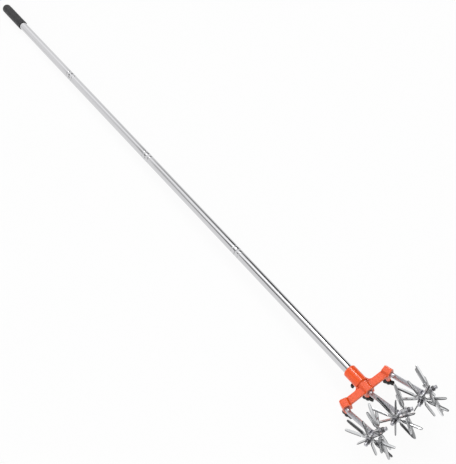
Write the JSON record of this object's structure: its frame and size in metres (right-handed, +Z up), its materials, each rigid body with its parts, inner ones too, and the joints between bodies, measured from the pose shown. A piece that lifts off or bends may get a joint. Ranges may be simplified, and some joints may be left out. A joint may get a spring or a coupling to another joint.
{
  "type": "rotary hand cultivator",
  "caption": "Long-handled rotary hand cultivator: a screwed sectional pole, a crossbar head with clamped tine units and interleaved spinning star wheels.",
  "frame": {"origin": "centre of the bounding box on the floor that the tool lies on", "axes": "+Y from the head to the grip, +X along the crossbar, +Z up, out of the blocks' flat tops"},
  "size_m": [0.178, 1.5906, 0.1426],
  "materials": {
    "orange_paint": "gloss",
    "polished_steel": "polished",
    "grip_vinyl": "satin",
    "black_plastic": "satin",
    "zinc_plate": "zinc plated",
    "dark_zinc": "phosphated",
    "turned_steel": "turned"
  },
  "bodies": {
    "head": {"head_casting": "orange_paint"},
    "pole_section_1": {"pole_tube_1": "polished_steel", "female_insert_1": "turned_steel"},
    "pole_section_2": {"pole_tube_2": "polished_steel", "male_insert_2": "turned_steel", "female_insert_2": "turned_steel"},
    "pole_section_3": {"pole_tube_3": "polished_steel", "male_insert_3": "turned_steel", "female_insert_3": "turned_steel"},
    "pole_section_4": {"pole_tube_4": "polished_steel", "male_insert_4": "turned_steel", "grip": "grip_vinyl"},
    "left_stud": {"left_screw_stud": "turned_steel"},
    "middle_stud": {"middle_screw_stud": "turned_steel"},
    "right_stud": {"right_screw_stud": "turned_steel"},
    "socket_stud": {"socket_screw_stud": "turned_steel"},
    "left_knob": {"left_wing_knob": "black_plastic"},
    "middle_knob": {"middle_wing_knob": "black_plastic"},
    "right_knob": {"right_wing_knob": "black_plastic"},
    "socket_knob": {"socket_wing_knob": "black_plastic"},
    "left_unit": {"left_stem": "polished_steel", "left_axle": "polished_steel", "left_unit_left_washer": "polished_steel", "left_unit_left_retainer": "dark_zinc", "left_unit_right_washer": "polished_steel", "left_unit_right_retainer": "dark_zinc"},
    "middle_unit": {"middle_stem": "polished_steel", "middle_axle": "polished_steel", "middle_unit_left_washer": "polished_steel", "middle_unit_left_retainer": "dark_zinc", "middle_unit_right_washer": "polished_steel", "middle_unit_right_retainer": "dark_zinc"},
    "right_unit": {"right_stem": "polished_steel", "right_axle": "polished_steel", "right_unit_left_washer": "polished_steel", "right_unit_left_retainer": "dark_zinc", "right_unit_right_washer": "polished_steel", "right_unit_right_retainer": "dark_zinc"},
    "left_unit_left_wheel": {"left_unit_left_star": "zinc_plate", "left_unit_left_hub_bush": "turned_steel"},
    "left_unit_right_wheel": {"left_unit_right_star": "zinc_plate", "left_unit_right_hub_bush": "turned_steel"},
    "middle_unit_left_wheel": {"middle_unit_left_star": "zinc_plate", "middle_unit_left_hub_bush": "turned_steel"},
    "middle_unit_right_wheel": {"middle_unit_right_star": "zinc_plate", "middle_unit_right_hub_bush": "turned_steel"},
    "right_unit_left_wheel": {"right_unit_left_star": "zinc_plate", "right_unit_left_hub_bush": "turned_steel"},
    "right_unit_right_wheel": {"right_unit_right_star": "zinc_plate", "right_unit_right_hub_bush": "turned_steel"}
  },
  "joints": [
    {"name": "pole_pull", "type": "slide", "parent": "head", "child": "pole_section_1", "axis": [0, 0.9997, -0.0238], "range_m": [0, 0.036]},
    {"name": "section_2_unscrew", "type": "slide", "parent": "pole_section_1", "child": "pole_section_2", "axis": [0, 0.9997, -0.0238], "range_m": [0, 0.0168]},
    {"name": "section_3_unscrew", "type": "slide", "parent": "pole_section_2", "child": "pole_section_3", "axis": [0, 0.9997, -0.0238], "range_m": [0, 0.0168]},
    {"name": "section_4_unscrew", "type": "slide", "parent": "pole_section_3", "child": "pole_section_4", "axis": [0, 0.9997, -0.0238], "range_m": [0, 0.0168]},
    {"name": "left_screw_travel", "type": "slide", "parent": "head", "child": "left_stud", "axis": [0, -0.0238, -0.9997], "range_m": [0, 0.002]},
    {"name": "middle_screw_travel", "type": "slide", "parent": "head", "child": "middle_stud", "axis": [0, -0.0238, -0.9997], "range_m": [0, 0.002]},
    {"name": "right_screw_travel", "type": "slide", "parent": "head", "child": "right_stud", "axis": [0, -0.0238, -0.9997], "range_m": [0, 0.002]},
    {"name": "socket_screw_travel", "type": "slide", "parent": "head", "child": "socket_stud", "axis": [0, -0.0238, -0.9997], "range_m": [0, 0.002]},
    {"name": "left_knob_turn", "type": "hinge", "parent": "left_stud", "child": "left_knob", "pos_m": [-0.05005, -0.65367, 0.01661], "axis": [0, -0.0238, -0.9997], "range_deg": [0, 720]},
    {"name": "middle_knob_turn", "type": "hinge", "parent": "middle_stud", "child": "middle_knob", "pos_m": [-0.00025, -0.65367, 0.01661], "axis": [0, -0.0238, -0.9997], "range_deg": [0, 720]},
    {"name": "right_knob_turn", "type": "hinge", "parent": "right_stud", "child": "right_knob", "pos_m": [0.04955, -0.65367, 0.01661], "axis": [0, -0.0238, -0.9997], "range_deg": [0, 720]},
    {"name": "socket_knob_turn", "type": "hinge", "parent": "socket_stud", "child": "socket_knob", "pos_m": [-0.00025, -0.61652, 0.02272], "axis": [0, -0.0238, -0.9997], "range_deg": [0, 720]},
    {"name": "left_unit_pull", "type": "slide", "parent": "head", "child": "left_unit", "axis": [-0.2588, -0.9657, 0.023], "range_m": [0, 0.015]},
    {"name": "middle_unit_pull", "type": "slide", "parent": "head", "child": "middle_unit", "axis": [0, -0.9997, 0.0238], "range_m": [0, 0.0115]},
    {"name": "right_unit_pull", "type": "slide", "parent": "head", "child": "right_unit", "axis": [0.2588, -0.9657, 0.023], "range_m": [0, 0.015]},
    {"name": "left_unit_left_spin", "type": "hinge", "parent": "left_unit", "child": "left_unit_left_wheel", "pos_m": [-0.0685, -0.74743, 0.0917], "axis": [0.9253, 0.3649, -0.1033], "continuous": true},
    {"name": "left_unit_right_spin", "type": "hinge", "parent": "left_unit", "child": "left_unit_right_wheel", "pos_m": [-0.04838, -0.74816, 0.09382], "axis": [0.8551, -0.4288, 0.2915], "continuous": true},
    {"name": "middle_unit_left_spin", "type": "hinge", "parent": "middle_unit", "child": "middle_unit_left_wheel", "pos_m": [-0.01037, -0.74807, 0.09296], "axis": [0.8955, 0.3901, -0.2143], "continuous": true},
    {"name": "middle_unit_right_spin", "type": "hinge", "parent": "middle_unit", "child": "middle_unit_right_wheel", "pos_m": [0.00987, -0.74826, 0.09258], "axis": [0.8955, -0.4067, 0.1806], "continuous": true},
    {"name": "right_unit_left_spin", "type": "hinge", "parent": "right_unit", "child": "right_unit_left_wheel", "pos_m": [0.04794, -0.7491, 0.09191], "axis": [0.8499, 0.5125, -0.1223], "continuous": true},
    {"name": "right_unit_right_spin", "type": "hinge", "parent": "right_unit", "child": "right_unit_right_wheel", "pos_m": [0.06794, -0.74649, 0.09361], "axis": [0.9202, -0.2812, 0.2725], "continuous": true}
  ],
  "couplings": [
    {"joint": "left_knob_turn", "follows": "left_screw_travel", "rad_per_m": 6283.2},
    {"joint": "middle_knob_turn", "follows": "middle_screw_travel", "rad_per_m": 6283.2},
    {"joint": "right_knob_turn", "follows": "right_screw_travel", "rad_per_m": 6283.2},
    {"joint": "socket_knob_turn", "follows": "socket_screw_travel", "rad_per_m": 6283.2},
    {"joint": "left_unit_left_spin", "follows": "middle_unit_left_spin", "ratio": 1},
    {"joint": "left_unit_right_spin", "follows": "middle_unit_left_spin", "ratio": 1},
    {"joint": "middle_unit_right_spin", "follows": "middle_unit_left_spin", "ratio": 1},
    {"joint": "right_unit_left_spin", "follows": "middle_unit_left_spin", "ratio": 1},
    {"joint": "right_unit_right_spin", "follows": "middle_unit_left_spin", "ratio": 1}
  ]
}
